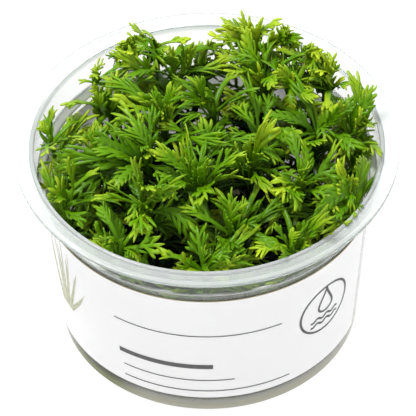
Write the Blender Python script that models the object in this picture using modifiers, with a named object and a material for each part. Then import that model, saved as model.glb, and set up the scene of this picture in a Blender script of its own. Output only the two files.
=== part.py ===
"""A tissue culture cup of young water plants: clear cup, wrap label, agar gel and plantlets.

Metres, +Z up. The origin is the middle of the cup's base, and the label's front faces -Y.
"""
import math
import random

import bmesh
import bpy
import numpy as np
from mathutils import Matrix, Vector

MM = 0.001
CLEARANCE = 0.3 * MM

# Cup
CUP_HEIGHT = 56.0 * MM
FLANGE_RADIUS = 47.5 * MM
MOUTH_RADIUS = 42.8 * MM
FLANGE_THICKNESS = 1.1 * MM
FLANGE_BEAD_HEIGHT = 0.3 * MM
FLANGE_BEAD_WIDTH = 1.1 * MM
FLANGE_BEAD_SLOPE = 0.35 * MM
FLANGE_LIP_WIDTH = 0.7 * MM
WALL_THICKNESS = 0.8 * MM
FLOOR_THICKNESS = 0.9 * MM
STEP_HEIGHT = 46.1 * MM
STEP_RISE = 0.9 * MM
NECK_RADIUS_BOTTOM = 42.8 * MM
NECK_RADIUS_TOP = 43.5 * MM
WALL_RADIUS_TOP = 41.0 * MM
WALL_RADIUS_BOTTOM = 37.4 * MM
BASE_CORNER = 1.2 * MM
BASE_CHAMFER = 0.35 * MM
INSIDE_CORNER = 1.0 * MM
RIM_FILLET = 2.2 * MM
CUP_SIDES = 48

# Label
LABEL_BOTTOM = 5.7 * MM
LABEL_TOP = 43.6 * MM
LABEL_THICKNESS = 0.25 * MM
LABEL_GAP_START = -22.0
LABEL_GAP_END = 8.0

# Gel
GEL_TOP = 10.0 * MM
GEL_MENISCUS = 0.7 * MM
GEL_MENISCUS_WIDTH = 2.8 * MM
GEL_SIDES = 24

# Plantlets
PLANT_RINGS = (
    {"radius": 0.0, "count": 1, "first_turn": 0.0},
    {"radius": 12.5 * MM, "count": 6, "first_turn": 25.0},
    {"radius": 24.0 * MM, "count": 8, "first_turn": 13.0},
    {"radius": 34.5 * MM, "count": 11, "first_turn": 8.0},
)
PLANT_SEED = 881
FIELD_RADIUS = 35.0 * MM
SCATTER = 1.2 * MM
CROWN_SCATTER = 1.8 * MM
STEM_TWIST = 0.8
ROOT_DEPTH = 3.5 * MM
STEM_SIDES = 5
FIRST_SIDE = math.radians(54.0)
STEM_RADIUS = 0.9 * MM
STEM_TIP_RADIUS = 0.7 * MM
BUD_HEIGHT = 1.6 * MM
HOLE_RADIUS = STEM_RADIUS + 1.3 * CLEARANCE
CROWN_SPREAD = 1.15
CROWN_MARGIN = 3.8 * MM
CANOPY_TOP = 67.0 * MM
CANOPY_MIDDLE = 63.0 * MM
DOME_DROP = 2.0 * MM
LEAF_RISE_ABOVE_STEM = (5.0 * MM, 10.0 * MM)
FREE_CORNER_REACH = 5.0 * MM

# Leaves: a whorl's place and half height are shares of the stem, its rise is in degrees
WHORLS = (
    {"share": 0.97, "rise": (30.0, 62.0), "lobes": ((0.42, 1.0), (0.7, 0.75))},
    {"share": 0.74, "rise": (10.0, 45.0), "lobes": ((0.5, 1.0),)},
)
WHORL_BAND = 0.013
LEAF_LENGTH = 13.0 * MM
LEAF_WIDTH = 2.2 * MM
LEAF_THICKNESS = 0.55 * MM
LEAF_STALK = 0.28
LEAF_STATIONS = (0.3, 0.62)
LOBE_REACH = 2.6 * MM
LOBE_BEADS = ((0.4, 1.0 * MM), (0.7, 0.6 * MM), (1.0, 0.2 * MM))
LEAF_SIZES = (0.85, 1.15)
LEAF_TURN = math.radians(14.0)
LEAF_CURL = math.radians(40.0)
LEAF_DROOP = (25.0, 75.0)
LEAF_TRIES = 40
TRY_SHRINK = 0.55
TRY_RISE = 15.0

# The corner of the cup that the plants leave free, as lowest and highest X, Y and Z
FREE_CORNER = ((-31.0 * MM, 18.0 * MM, 30.0 * MM), (-26.5 * MM, 22.5 * MM, 70.0 * MM))

COLOURS = {
    "cup": (0.80, 0.84, 0.84),
    "label": (0.90, 0.90, 0.90),
    "gel": (0.60, 0.62, 0.48),
    "fresh": (0.30, 0.52, 0.03),
    "mid": (0.20, 0.44, 0.03),
    "deep": (0.12, 0.32, 0.03),
}


def clear_scene():
    for old in list(bpy.data.objects):
        bpy.data.objects.remove(old)


def new_collection(name):
    collection = bpy.data.collections.new(name)
    bpy.context.scene.collection.children.link(collection)
    return collection


def plain_material(name, colour, roughness, transmission=0.0, alpha=1.0):
    material = bpy.data.materials.new(name)
    material.use_nodes = True
    shader = material.node_tree.nodes["Principled BSDF"]
    shader.inputs["Base Color"].default_value = (*colour, 1.0)
    shader.inputs["Roughness"].default_value = roughness
    shader.inputs["Metallic"].default_value = 0.0
    shader.inputs["Transmission Weight"].default_value = transmission
    shader.inputs["Alpha"].default_value = alpha
    return material


def mesh_object(name, mesh, material, collection):
    part = bpy.data.objects.new(name, mesh)
    mesh.materials.append(material)
    collection.objects.link(part)
    return part


def profile_mesh(name, points):
    """An open chain of edges in the XZ plane, at +X."""
    mesh = bpy.data.meshes.new(name)
    edges = [(index, index + 1) for index in range(len(points) - 1)]
    mesh.from_pydata([(radius, 0.0, height) for radius, height in points], edges, [])
    return mesh


def add_screw(part, degrees, steps, merge):
    screw = part.modifiers.new("Turn", "SCREW")
    screw.angle = math.radians(degrees)
    screw.steps = steps
    screw.render_steps = steps
    screw.use_merge_vertices = merge
    screw.merge_threshold = 0.0001
    screw.use_smooth_shade = False
    return screw


def wall_radius(height):
    """Outer radius of the tapered wall."""
    share = height / STEP_HEIGHT
    return WALL_RADIUS_BOTTOM + (WALL_RADIUS_TOP - WALL_RADIUS_BOTTOM) * share


def room_radius(height):
    """Inner radius of the cup at a height, and of its mouth above that."""
    if height < STEP_HEIGHT + STEP_RISE:
        return wall_radius(height) - WALL_THICKNESS
    share = min((height - STEP_HEIGHT) / (CUP_HEIGHT - STEP_HEIGHT), 1.0)
    neck = NECK_RADIUS_BOTTOM + (NECK_RADIUS_TOP - NECK_RADIUS_BOTTOM) * share
    return min(neck - WALL_THICKNESS, MOUTH_RADIUS)


def cup_profile():
    """From the middle of the floor up the inside, over the flange, and down the outside."""
    floor = FLOOR_THICKNESS
    flange_top = CUP_HEIGHT - FLANGE_BEAD_HEIGHT
    flange_bottom = CUP_HEIGHT - FLANGE_THICKNESS
    step_top = STEP_HEIGHT + STEP_RISE
    inside = [
        (0.0, floor),
        (wall_radius(0.0) - WALL_THICKNESS - INSIDE_CORNER, floor),
        (wall_radius(floor) - WALL_THICKNESS, floor + INSIDE_CORNER),
        (wall_radius(STEP_HEIGHT) - WALL_THICKNESS, STEP_HEIGHT),
        (NECK_RADIUS_BOTTOM - WALL_THICKNESS, step_top),
        (NECK_RADIUS_TOP - WALL_THICKNESS, CUP_HEIGHT - RIM_FILLET),
        (MOUTH_RADIUS, CUP_HEIGHT),
    ]
    flange = [
        (MOUTH_RADIUS + FLANGE_LIP_WIDTH, CUP_HEIGHT),
        (MOUTH_RADIUS + FLANGE_LIP_WIDTH + FLANGE_BEAD_SLOPE, flange_top),
        (FLANGE_RADIUS - FLANGE_BEAD_WIDTH - FLANGE_BEAD_SLOPE, flange_top),
        (FLANGE_RADIUS - FLANGE_BEAD_WIDTH, CUP_HEIGHT),
        (FLANGE_RADIUS - FLANGE_BEAD_SLOPE, CUP_HEIGHT),
        (FLANGE_RADIUS, CUP_HEIGHT - FLANGE_BEAD_SLOPE),
        (FLANGE_RADIUS, flange_bottom),
    ]
    outside = [
        (NECK_RADIUS_TOP + FLANGE_BEAD_SLOPE, flange_bottom),
        (NECK_RADIUS_TOP, CUP_HEIGHT - RIM_FILLET),
        (NECK_RADIUS_BOTTOM, step_top),
        (wall_radius(STEP_HEIGHT), STEP_HEIGHT),
        (wall_radius(BASE_CORNER), BASE_CORNER),
        (wall_radius(0.0) - BASE_CHAMFER, BASE_CHAMFER),
        (wall_radius(0.0) - BASE_CORNER, 0.0),
        (0.0, 0.0),
    ]
    return inside + flange + outside


def make_cup(collection):
    material = plain_material("clear_plastic", COLOURS["cup"], 0.12, transmission=0.9, alpha=0.35)
    part = mesh_object("cup", profile_mesh("cup", cup_profile()), material, collection)
    add_screw(part, 360.0, CUP_SIDES, True)
    return part


def make_label(collection):
    """A sheet round the wall, with a bare stretch between its two ends."""
    material = plain_material("label_film", COLOURS["label"], 0.35)
    offset = CLEARANCE
    points = [
        (wall_radius(LABEL_TOP) + offset, LABEL_TOP),
        (wall_radius(LABEL_BOTTOM) + offset, LABEL_BOTTOM),
    ]
    part = mesh_object("label", profile_mesh("label", points), material, collection)
    wrapped = 360.0 - (LABEL_GAP_END - LABEL_GAP_START)
    add_screw(part, wrapped, round(CUP_SIDES * wrapped / 360.0), False)
    part.rotation_euler.z = math.radians(LABEL_GAP_END)
    sheet = part.modifiers.new("Thickness", "SOLIDIFY")
    sheet.thickness = LABEL_THICKNESS
    sheet.offset = 1.0
    return part


def make_gel(collection, plants, cutters):
    """The gel disc, its edge drawn up the wall a little, with a hole where each stem is rooted."""
    material = plain_material("agar_gel", COLOURS["gel"], 0.2, transmission=0.5)
    bottom = FLOOR_THICKNESS + CLEARANCE
    corner = BASE_CORNER
    inset = WALL_THICKNESS + CLEARANCE
    edge = GEL_TOP + GEL_MENISCUS
    points = [
        (0.0, GEL_TOP),
        (wall_radius(GEL_TOP) - inset - GEL_MENISCUS_WIDTH, GEL_TOP),
        (wall_radius(edge) - inset, edge),
        (wall_radius(bottom + corner) - inset, bottom + corner),
        (wall_radius(bottom) - inset - corner, bottom),
        (0.0, bottom),
    ]
    part = mesh_object("gel", profile_mesh("gel", points), material, collection)
    add_screw(part, 360.0, GEL_SIDES, True)
    holes = bmesh.new()
    depth = ROOT_DEPTH + 2.0 * GEL_MENISCUS
    for plant in plants:
        middle = plant["foot"] + Vector((0.0, 0.0, 0.5 * depth - CLEARANCE))
        bmesh.ops.create_cone(
            holes,
            cap_ends=True,
            segments=STEM_SIDES,
            radius1=HOLE_RADIUS,
            radius2=HOLE_RADIUS,
            depth=depth,
            matrix=Matrix.Translation(middle) @ Matrix.Rotation(plant["phase"], 4, "Z"),
        )
    mesh = bpy.data.meshes.new("stem_holes")
    holes.to_mesh(mesh)
    holes.free()
    cutter = bpy.data.objects.new("stem_holes", mesh)
    cutters.objects.link(cutter)
    cutter.hide_render = True
    cutter.display_type = "WIRE"
    cut = part.modifiers.new("Stem holes", "BOOLEAN")
    cut.object = cutter
    cut.solver = "EXACT"
    return part


class Room:
    """The room that stems and leaves take up, kept as beads, so that no two of them touch."""

    def __init__(self):
        self.centres = np.zeros((0, 3))
        self.radii = np.zeros(0)
        self.owners = np.zeros(0, dtype=int)

    def add(self, centres, radii, owner):
        self.centres = np.vstack([self.centres, centres])
        self.radii = np.append(self.radii, radii)
        self.owners = np.append(self.owners, np.full(len(radii), owner))

    def is_free(self, centres, radii, loose, owner):
        """Whether beads are clear. Those on a leaf's stalk, not loose, may be near their own stem."""
        if not inside_cup(centres, radii):
            return False
        apart = np.linalg.norm(self.centres[:, None] - centres[None], axis=2)
        gaps = apart - self.radii[:, None] - radii[None]
        counted = (self.owners[:, None] != owner) | loose[None]
        return bool(gaps[counted].min() > CLEARANCE)


def inside_cup(centres, radii):
    """Whether beads stay off the wall, the gel and the free corner, and under the canopy's top."""
    low, high = FREE_CORNER
    for (x, y, z), radius in zip(centres, radii):
        if math.hypot(x, y) + radius > room_radius(z - radius) - CLEARANCE:
            return False
        if z - radius < GEL_TOP + GEL_MENISCUS + CLEARANCE or z + radius > CANOPY_TOP:
            return False
        margin = radius + CLEARANCE
        if all(low[axis] - margin < value < high[axis] + margin for axis, value in enumerate((x, y, z))):
            return False
    return True


def plan_stems(rng):
    """Sets the plantlets out in rings on the gel, each leaning a little outwards."""
    low, high = FREE_CORNER
    corner = Vector((0.5 * (low[0] + high[0]), 0.5 * (low[1] + high[1])))
    plants = []
    for ring in PLANT_RINGS:
        for index in range(ring["count"]):
            turn = math.radians(ring["first_turn"]) + index * math.tau / ring["count"]
            x = ring["radius"] * math.cos(turn) + rng.uniform(-SCATTER, SCATTER)
            y = ring["radius"] * math.sin(turn) + rng.uniform(-SCATTER, SCATTER)
            plant = plan_stem(rng, x, y)
            if (plant["top"].xy - corner).length > FREE_CORNER_REACH:
                plants.append(plant)
    return plants


def plan_stem(rng, x, y):
    top = Vector((x * CROWN_SPREAD, y * CROWN_SPREAD, 0.0))
    top.x += rng.uniform(-CROWN_SCATTER, CROWN_SCATTER)
    top.y += rng.uniform(-CROWN_SCATTER, CROWN_SCATTER)
    top *= min(1.0, (MOUTH_RADIUS - CROWN_MARGIN) / top.length)
    top.z = canopy_height(x, y) - rng.uniform(*LEAF_RISE_ABOVE_STEM)
    return {
        "foot": Vector((x, y, GEL_TOP - ROOT_DEPTH)),
        "bend": Vector((x, y, GEL_TOP + 0.5 * (top.z - GEL_TOP))),
        "top": top,
        "phase": rng.uniform(0.0, math.tau),
        "twist": rng.uniform(-STEM_TWIST, STEM_TWIST),
        "leaves": [],
    }


def canopy_height(x, y):
    """Height of the leaf tips over a place: a low dome."""
    out = math.hypot(x, y) / FIELD_RADIUS
    return CANOPY_MIDDLE - DOME_DROP * out ** 2


def stem_point(plant, share):
    """A point on the stem, which leaves the gel upright and bends towards its top."""
    rest = 1.0 - share
    return rest * rest * plant["foot"] + 2.0 * rest * share * plant["bend"] + share * share * plant["top"]


def stem_radius(share):
    return STEM_RADIUS + (STEM_TIP_RADIUS - STEM_RADIUS) * share


def stem_shares():
    """Where the stem has a ring: above the gel, and below and above each whorl."""
    shares = [0.25]
    for whorl in reversed(WHORLS):
        shares += [whorl["share"] - WHORL_BAND, whorl["share"] + WHORL_BAND]
    return shares


def stem_beads(plant):
    rings = [stem_point(plant, share) for share in stem_shares() + [1.0]]
    centres = []
    for low, high in zip(rings, rings[1:]):
        centres += [low.lerp(high, step / 10.0) for step in range(10)]
    return np.array(centres), np.full(len(centres), STEM_RADIUS)


def leaf_path(leaf, steps=12):
    """Points along a leaf, which starts at its rise and bends down and sideways to its tip."""
    points = [leaf["start"]]
    for step in range(steps):
        share = (step + 0.5) / steps
        rise = leaf["rise"] - leaf["droop"] * share
        turn = leaf["turn"] + leaf["curl"] * share
        way = Vector((math.cos(rise) * math.cos(turn), math.cos(rise) * math.sin(turn), math.sin(rise)))
        points.append(points[-1] + way * (leaf["length"] / steps))
    return points


def leaf_frame(leaf, share):
    """Centre, side, up and forward direction of a leaf at a share of its length."""
    points = leaf_path(leaf)
    place = share * (len(points) - 1)
    index = min(int(place), len(points) - 2)
    centre = points[index].lerp(points[index + 1], place - index)
    ahead = (points[index + 1] - points[index]).normalized()
    turn = leaf["turn"] + leaf["curl"] * share
    side = Vector((-math.sin(turn), math.cos(turn), 0.0))
    return centre, side, ahead.cross(side), ahead


def leaf_width(leaf, share):
    return leaf["width"] * (0.6 + 1.1 * share - 1.3 * share * share)


def lobe_tips(leaf):
    """Where the side lobes end, as a list of share along the leaf, hand and point."""
    tips = []
    for share, size in leaf["lobes"]:
        centre, side, up, ahead = leaf_frame(leaf, share)
        reach = leaf["lobe"] * size
        for hand in (-1.0, 1.0):
            tips.append((share, hand, centre + (hand * side + 0.9 * ahead + 0.15 * up) * reach))
    return tips


def leaf_beads(leaf):
    """Centres and radii of a leaf's beads, and which of them are clear of its stalk."""
    centres = []
    radii = []
    loose = []
    points = leaf_path(leaf)
    for index, point in enumerate(points[1:], start=1):
        share = index / (len(points) - 1)
        centres.append(point)
        radii.append(0.5 * leaf_width(leaf, share))
        loose.append(share > LEAF_STALK)
    for share, hand, tip in lobe_tips(leaf):
        centre = leaf_frame(leaf, share)[0]
        for way, radius in LOBE_BEADS:
            centres.append(centre.lerp(tip, way))
            radii.append(radius)
            loose.append(True)
    return np.array(centres), np.array(radii), np.array(loose)


def grow_leaf(rng, room, plant, whorl, face):
    """Tries leaves that get shorter and steeper until one has room, and keeps it."""
    share = whorl["share"]
    turn = plant["phase"] + plant["twist"] * share + FIRST_SIDE + face * math.tau / STEM_SIDES
    outward = Vector((math.cos(turn), math.sin(turn), 0.0))
    start = stem_point(plant, share) + outward * stem_radius(share)
    for attempt in range(LEAF_TRIES):
        effort = attempt / LEAF_TRIES
        shrink = 1.0 - TRY_SHRINK * effort
        leaf = {
            "start": start,
            "turn": turn + rng.uniform(-LEAF_TURN, LEAF_TURN),
            "curl": rng.uniform(-LEAF_CURL, LEAF_CURL),
            "rise": math.radians(rng.uniform(*whorl["rise"]) + TRY_RISE * effort),
            "droop": math.radians(rng.uniform(*LEAF_DROOP)),
            "length": LEAF_LENGTH * rng.uniform(*LEAF_SIZES) * shrink,
            "width": LEAF_WIDTH * rng.uniform(*LEAF_SIZES),
            "lobe": LOBE_REACH * rng.uniform(*LEAF_SIZES) * shrink,
            "share": share,
            "outward": outward,
            "lobes": whorl["lobes"],
        }
        centres, radii, loose = leaf_beads(leaf)
        if room.is_free(centres, radii, loose, plant["number"]):
            room.add(centres, radii, plant["number"])
            plant["leaves"].append(leaf)
            return


def plan_plants():
    """Stems first, then the top whorl of every plant, then the lower whorls."""
    rng = random.Random(PLANT_SEED)
    room = Room()
    plants = plan_stems(rng)
    for number, plant in enumerate(plants, start=1):
        plant["number"] = number
        room.add(*stem_beads(plant), number)
    for whorl in WHORLS:
        for plant in plants:
            for face in range(STEM_SIDES):
                grow_leaf(rng, room, plant, whorl, face)
    return plants


def extrude_face(mesh, face, move):
    """Extrudes one face, moves its corners, and gives it back with the new faces round it."""
    pulled = bmesh.ops.extrude_discrete_faces(mesh, faces=[face])["faces"][0]
    sides = [other for edge in pulled.edges for other in edge.link_faces if other is not pulled]
    for corner in pulled.verts:
        corner.co = move(corner.co)
    return pulled, sides


def poke_face(mesh, face, tip):
    """Draws one face out to a point, and gives back the faces round it."""
    poked = bmesh.ops.poke(mesh, faces=[face])
    poked["verts"][0].co = tip
    return poked["faces"]


def side_facing(faces, middle, direction):
    """Of the faces that aren't drawn out yet, the one furthest from a point in a direction."""
    whole = [face for face in faces if face.is_valid]
    return max(whole, key=lambda face: (face.calc_center_median() - middle).dot(direction))


def draw_lobes(mesh, leaf, sides, middle, low, high):
    """Draws the side lobes out of a stretch of leaf, given by its two shares of the length."""
    for share, hand, tip in lobe_tips(leaf):
        if low < share < high:
            side = leaf_frame(leaf, share)[1]
            poke_face(mesh, side_facing(sides, middle, side * hand), tip)


def build_leaf(mesh, face, leaf):
    """A flat leaf drawn out of one side of the stem, with pointed side lobes."""
    low = 0.0
    for share in LEAF_STATIONS:
        centre, side, up, ahead = leaf_frame(leaf, share)
        half_width = 0.5 * leaf_width(leaf, share)
        half_thickness = 0.5 * LEAF_THICKNESS * (1.0 - 0.4 * share)
        old_centre = face.calc_center_median()

        def move(point):
            across = math.copysign(half_width, (point - old_centre).dot(side))
            height = math.copysign(half_thickness, (point - old_centre).dot(up))
            return centre + side * across + up * height

        face, sides = extrude_face(mesh, face, move)
        draw_lobes(mesh, leaf, sides, (old_centre + centre) * 0.5, low, share)
        low = share
    tip = leaf_path(leaf)[-1]
    sides = poke_face(mesh, face, tip)
    draw_lobes(mesh, leaf, sides, (tip + centre) * 0.5, low, 1.0)


def build_plantlet(name, plant, material, collection):
    """One stem with its leaves, drawn out of a single closed prism rooted in the gel."""
    mesh = bmesh.new()
    shares = stem_shares()
    depth = stem_point(plant, shares[0]).z - plant["foot"].z
    middle = plant["foot"] + Vector((0.0, 0.0, 0.5 * depth))
    bmesh.ops.create_cone(
        mesh,
        cap_ends=True,
        segments=STEM_SIDES,
        radius1=STEM_RADIUS,
        radius2=STEM_RADIUS,
        depth=depth,
        matrix=Matrix.Translation(middle) @ Matrix.Rotation(plant["phase"], 4, "Z"),
    )
    top = max(mesh.faces, key=lambda face: face.calc_center_median().z)
    for low, high in zip(shares, shares[1:]):
        old_centre = top.calc_center_median()
        new_centre = stem_point(plant, high)
        turn = Matrix.Rotation(plant["twist"] * (high - low), 3, "Z")
        scale = stem_radius(high) / stem_radius(low)
        top, sides = extrude_face(mesh, top, lambda point: new_centre + turn @ (point - old_centre) * scale)
        for leaf in plant["leaves"]:
            if low < leaf["share"] < high:
                build_leaf(mesh, side_facing(sides, new_centre, leaf["outward"]), leaf)
    poke_face(mesh, top, stem_point(plant, 1.0) + Vector((0.0, 0.0, BUD_HEIGHT)))
    data = bpy.data.meshes.new(name)
    mesh.to_mesh(data)
    mesh.free()
    return mesh_object(name, data, material, collection)


def build_all():
    clear_scene()
    collection = new_collection("limnophila_aquatica_cup")
    cutters = new_collection("cutters")
    make_cup(collection)
    make_label(collection)
    plants = plan_plants()
    make_gel(collection, plants, cutters)
    greens = [plain_material("leaf_green_" + name, COLOURS[name], 0.4) for name in ("fresh", "mid", "deep")]
    for plant in plants:
        green = greens[plant["number"] % len(greens)]
        build_plantlet(f"plantlet_{plant['number']:02d}", plant, green, collection)


build_all()
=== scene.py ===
"""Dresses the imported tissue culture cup: clear cup, wrap label, agar gel and feathery plantlets."""
import random
from collections import namedtuple
from math import atan2, cos, hypot, pi, radians, sin, sqrt, tau
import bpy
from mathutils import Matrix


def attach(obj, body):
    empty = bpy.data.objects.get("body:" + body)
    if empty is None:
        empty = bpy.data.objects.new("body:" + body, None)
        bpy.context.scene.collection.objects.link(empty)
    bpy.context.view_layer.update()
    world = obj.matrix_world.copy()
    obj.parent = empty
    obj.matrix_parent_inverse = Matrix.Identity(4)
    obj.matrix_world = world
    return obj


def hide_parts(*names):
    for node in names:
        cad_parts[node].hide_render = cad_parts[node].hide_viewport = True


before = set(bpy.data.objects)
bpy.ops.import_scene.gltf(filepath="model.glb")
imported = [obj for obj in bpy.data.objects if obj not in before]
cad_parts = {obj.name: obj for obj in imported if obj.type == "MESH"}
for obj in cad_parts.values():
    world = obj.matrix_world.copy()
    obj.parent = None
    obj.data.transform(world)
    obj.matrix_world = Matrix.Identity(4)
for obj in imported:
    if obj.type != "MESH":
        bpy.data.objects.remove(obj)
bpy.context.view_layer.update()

from types import SimpleNamespace

import bpy
import numpy as np
from mathutils import Matrix, Vector

MM = 0.001
CLEARANCE = 0.3 * MM
# What keeps a division from nothing, and a way that counts as lying along X
TINY = 1e-9
MOSTLY = 0.9

# Cup
CUP_HEIGHT = 56.0 * MM
FLANGE_RADIUS = 47.5 * MM
MOUTH_RADIUS = 42.8 * MM
FLANGE_THICKNESS = 1.1 * MM
FLANGE_BEAD_HEIGHT = 0.3 * MM
FLANGE_BEAD_WIDTH = 1.1 * MM
FLANGE_BEAD_SLOPE = 0.35 * MM
FLANGE_LIP_WIDTH = 0.7 * MM
FLANGE_UNDER_ROUND = 0.65 * MM
WALL_THICKNESS = 0.8 * MM
FLOOR_THICKNESS = 0.9 * MM
STEP_HEIGHT = 46.1 * MM
STEP_RISE = 0.9 * MM
NECK_RADIUS_BOTTOM = 42.8 * MM
NECK_RADIUS_TOP = 43.5 * MM
WALL_RADIUS_TOP = 41.0 * MM
WALL_RADIUS_BOTTOM = 37.4 * MM
BASE_CORNER = 0.6 * MM
INSIDE_CORNER = 1.0 * MM
RIM_FILLET = 2.2 * MM
EDGE_ROUND = 0.5 * MM
BEAD_ROUND = 0.18 * MM
ROUND_CUTS = 5
# How far past a rounding, in cuts, a point keeps the straight's shading even
ROUND_HOLD = 1.15
LONGEST_CUT = 0.4
SHARP_ANGLE = 25.0
ROUND_STEPS = 192
MERGE_DISTANCE = 0.01 * MM
RING_COUNT = 5
RING_STEPS = 8
RING_HEIGHT = 0.025 * MM

# Haze of the plastic. Its stops are a height in millimetres and a share
WALL_HAZE = 0.018
LOW_NECK_HAZE = 0.085
LABEL_EDGE_HAZE = 0.17
RIDGE_HAZE = 0.95
FLANGE_HAZE = 0.24
BEAD_HAZE = 0.07
LOW_WALL_HAZE = 0.5
BASE_HAZE = 0.85
HAZE_STOPS = (
    (2.2, BASE_HAZE), (3.0, LOW_WALL_HAZE), (4.6, WALL_HAZE), (40.0, WALL_HAZE), (43.2, LABEL_EDGE_HAZE),
    (44.3, LABEL_EDGE_HAZE), (45.1, LOW_NECK_HAZE), (45.8, LOW_NECK_HAZE), (46.3, RIDGE_HAZE),
    (46.9, RIDGE_HAZE), (47.5, WALL_HAZE), (53.6, WALL_HAZE), (55.3, FLANGE_HAZE),
)
# Clouds, here and below, as scale and detail
HAZE_CLOUDS = (90.0, 4.0)
HAZE_DRIFT = (1.1, 0.9)
BEAD_SPAN = (CUP_HEIGHT - 0.8 * FLANGE_BEAD_HEIGHT, CUP_HEIGHT - 0.2 * FLANGE_BEAD_HEIGHT)

# Gloss and tint of the plastic. The stops are a height in millimetres and a linear colour. Low down the tint
# is dark olive: partly the gel's own colour seen through, partly painted shade under the cup
PLASTIC_IOR = 1.35
PLASTIC_ROUGHNESS = (0.05, 0.2)
FROSTED_SPAN = (53.8 * MM, 54.9 * MM)
PLASTIC_TINT = (0.86, 0.9, 0.89, 1.0)
PLASTIC_DENSITY = 220.0
WALL_TINT = (0.985, 0.99, 0.985, 1.0)
LOW_NECK_TINT = (0.95, 0.985, 0.91, 1.0)
FLANGE_TINT = (0.835, 0.87, 0.86, 1.0)
# Dark olive low down: partly the gel's colour seen through, partly painted shade under the cup
LOW_WALL_GEL_AND_SHADE_TINT = (0.6, 0.6, 0.52, 1.0)
BASE_GEL_AND_SHADE_TINT = (0.33, 0.325, 0.255, 1.0)
TINT_STOPS = (
    (2.2, BASE_GEL_AND_SHADE_TINT), (3.2, LOW_WALL_GEL_AND_SHADE_TINT), (4.6, WALL_TINT), (40.0, WALL_TINT), (43.0, LOW_NECK_TINT),
    (46.0, LOW_NECK_TINT), (47.0, WALL_TINT), (54.0, WALL_TINT), (55.0, FLANGE_TINT),
)
# A greener patch of the base at the left
MOSSY_TINT = (0.13, 0.15, 0.05, 1.0)
MOSSY_SIDE = (-27.0 * MM, -15.0 * MM)
MOSSY_BELOW = (4.0 * MM, 5.5 * MM)

# Label
LABEL_BOTTOM = 5.7 * MM
LABEL_TOP = 43.6 * MM
LABEL_THICKNESS = 0.25 * MM
LABEL_GAP_START = -22.0
LABEL_GAP_END = 8.0
LABEL_SHARP_ANGLE = 40.0
LABEL_EDGE = 0.35 * MM
LABEL_WHITES = ((0.95, 0.95, 0.95, 1.0), (0.99, 0.99, 0.99, 1.0))
LABEL_CLOUDS = (40.0, 6.0)
LABEL_ROUGHNESS = (0.8, 1.0)
LABEL_SURFACE = {
    "Specular IOR Level": 0.2, "Subsurface Weight": 1.0,
    "Subsurface Radius": (1.0, 1.0, 1.0), "Subsurface Scale": 0.75 * MM,
}
EDGE_BROWN = (0.34, 0.29, 0.18, 1.0)

# Print on the label, in millimetres round from the front and up from the base
LABEL_MEAN_RADIUS = 40.0 * MM
INK_RISE = 0.03 * MM
INK_GREY = (0.075, 0.075, 0.078)
INK_OLIVE = (0.36, 0.37, 0.23)
INK_PALE_OLIVE = (0.55, 0.56, 0.43)
INK_GRAIN = 900.0
INK_UNEVENNESS = 0.2
INK_ROUGHNESS = 0.55
# Rules, as height, left end, right end and weight
RULES = (
    (30.0, -25.0, 18.0, 0.35), (18.0, -24.3, 0.5, 1.6), (12.6, -23.4, 6.0, 0.35), (8.4, -23.4, 21.0, 0.35),
)
EMBLEM_PLACE = (31.5, 27.0)
EMBLEM_RADIUS = 8.0
EMBLEM_STROKE = 0.65
EMBLEM_STEPS = 64
DROP_RADIUS = 2.5
DROP_RISE = 1.4
DROP_POINT = 1.5
DROP_SHARPNESS = 3
WAVE_REACH = 4.6
WAVE_FALLS = (3.0, 4.8)
WAVE_HEIGHT = 0.45
WAVE_LENGTH = 3.2
WAVE_STEPS = 25
TUFT_FOOT = (-44.5, 18.5)
TUFT_WIDTH = 1.5
TUFT_FOOT_WIDTH = 0.5
TUFT_SWELL = 3.0
TUFT_TAPER = 1.05
TUFT_LEAN_POWER = 1.6
TUFT_NOD = 0.12
TUFT_NOD_POWER = 3
TUFT_STEPS = 16
# Blades of grass, as place of the foot, height, lean and bow
PALE_TUFT = (
    (-2.2, 22.5, -3.0, -0.8), (-1.2, 25.0, -1.2, 0.3), (-0.2, 25.5, 1.2, 0.5),
    (0.8, 23.0, 3.4, 0.8), (1.8, 18.5, 5.6, 1.2), (2.6, 12.5, 7.2, 1.5),
)
DARK_TUFT = (
    (-1.8, 18.5, -4.0, -1.0), (-0.6, 21.5, -0.2, 0.6), (0.4, 20.0, 2.6, 0.9),
    (1.4, 16.0, 4.8, 1.3), (2.2, 10.5, 6.6, 1.8),
)

# Gel
GEL_TOP = 10.0 * MM
GEL_MENISCUS = 0.7 * MM
GEL_MENISCUS_WIDTH = 2.8 * MM
GEL_CORNER = 0.6 * MM
GEL_CLOUDS = (55.0, 5.0)
GEL_DARK = (0.09, 0.1, 0.04, 1.0)
GEL_LIGHT = (0.23, 0.22, 0.14, 1.0)
GEL_SURFACE = {"Roughness": 0.3, "Transmission Weight": 0.1, "IOR": 1.34}

# Plantlets, set out by the same rules and the same seed as the solids
Ring = namedtuple("Ring", "radius count first_turn")
PLANT_RINGS = (
    Ring(0.0, 1, 0.0), Ring(12.5 * MM, 6, 25.0), Ring(24.0 * MM, 8, 13.0), Ring(34.5 * MM, 11, 8.0),
)
PLANT_SEED = 881
FIELD_RADIUS = 35.0 * MM
SCATTER = 1.2 * MM
CROWN_SCATTER = 1.8 * MM
STEM_TWIST = 0.8
ROOT_DEPTH = 3.5 * MM
STEM_SIDES = 5
FIRST_SIDE = radians(54.0)
STEM_RADIUS = 0.9 * MM
STEM_TIP_RADIUS = 0.7 * MM
BUD_HEIGHT = 1.6 * MM
CROWN_SPREAD = 1.15
CROWN_MARGIN = 3.8 * MM
CANOPY_TOP = 67.0 * MM
CANOPY_MIDDLE = 63.0 * MM
DOME_DROP = 2.0 * MM
LEAF_RISE_ABOVE_STEM = (5.0 * MM, 10.0 * MM)
FREE_CORNER_REACH = 5.0 * MM
Whorl = namedtuple("Whorl", "share rise lobes")
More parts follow.
